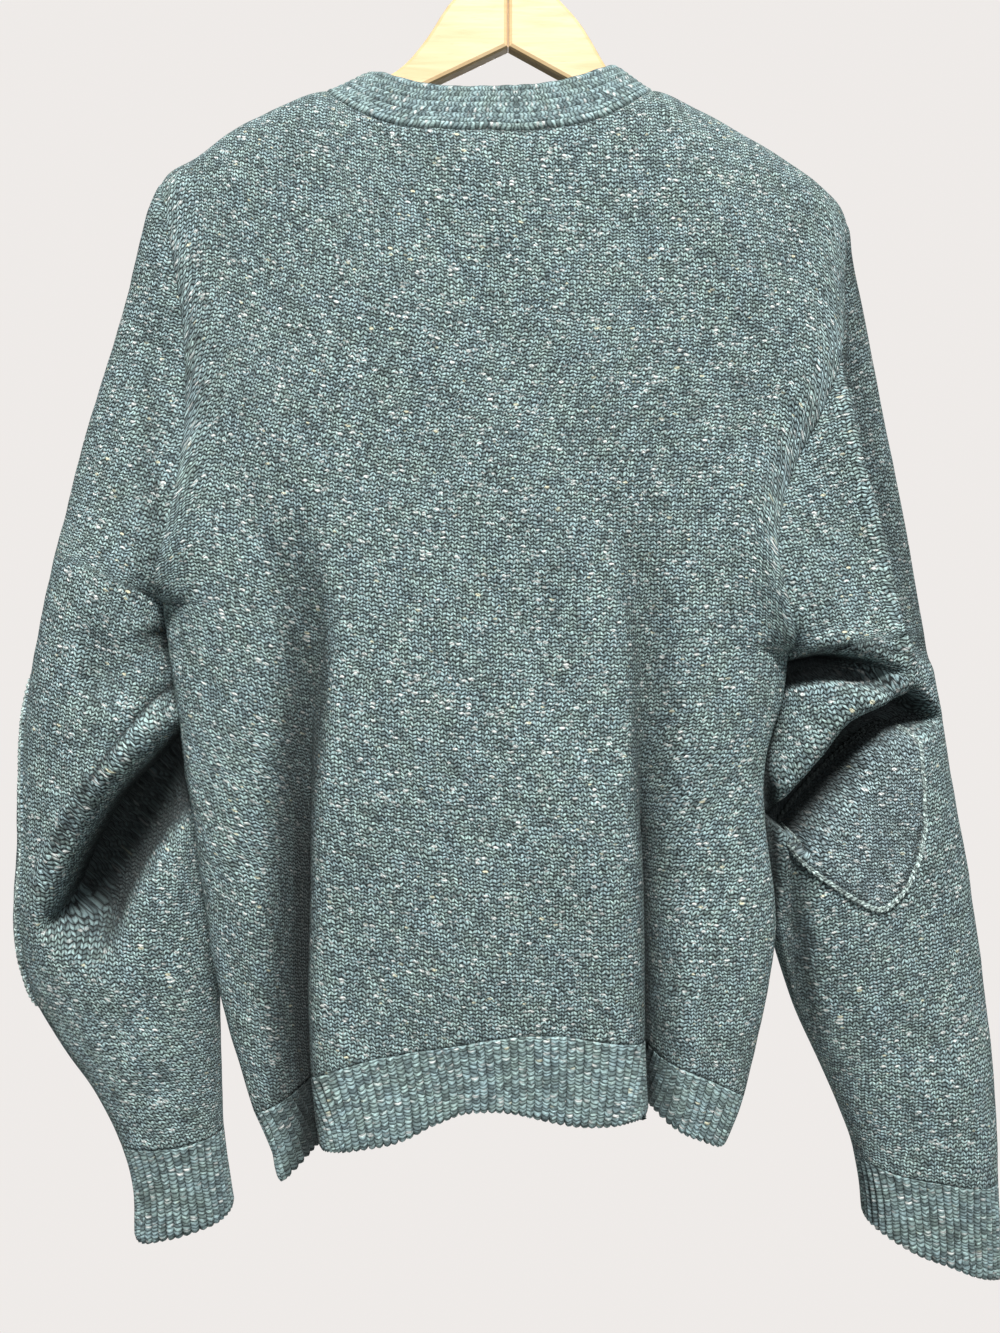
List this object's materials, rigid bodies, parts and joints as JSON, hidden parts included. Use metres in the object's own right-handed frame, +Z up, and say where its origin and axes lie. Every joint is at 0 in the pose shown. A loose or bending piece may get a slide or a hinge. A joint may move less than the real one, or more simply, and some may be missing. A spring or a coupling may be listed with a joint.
{
  "type": "darned wool sweater on a wooden hanger",
  "caption": "Heavy flecked wool sweater with ribbed hem, cuffs and neckband and sewn elbow patches, hung by its shoulders on a plain wooden hanger.",
  "frame": {"origin": "inside of the crown of the hanger's hook, where the rail bears", "axes": "+Z up, +X to the right of a person who looks at the sweater's back, +Y towards the sweater's front, so its back faces -Y"},
  "size_m": [0.6518, 0.1099, 0.9312],
  "materials": {
    "knit": "heathered grey-teal wool in plain knit, flecked with cream, white and pale yellow, fuzzy",
    "rib": "the same wool in ribs",
    "patch": "the same wool, a little darker, edged with a lighter chain stitch",
    "wood": "pale clear-lacquered beech",
    "steel": "bright nickel-plated wire"
  },
  "bodies": {
    "root": {"back_panel": "knit", "front_panel": "knit", "back_hem_rib": "rib", "front_hem_rib": "rib", "sleeve_left": "knit", "sleeve_right": "knit", "cuff_left": "rib", "cuff_right": "rib", "neckband_left": "rib", "neckband_right": "rib", "elbow_patch_left": "patch", "elbow_patch_right": "patch", "hanger_arm_left": "wood", "hanger_arm_right": "wood", "hanger_hook": "steel"}
  },
  "joints": []
}
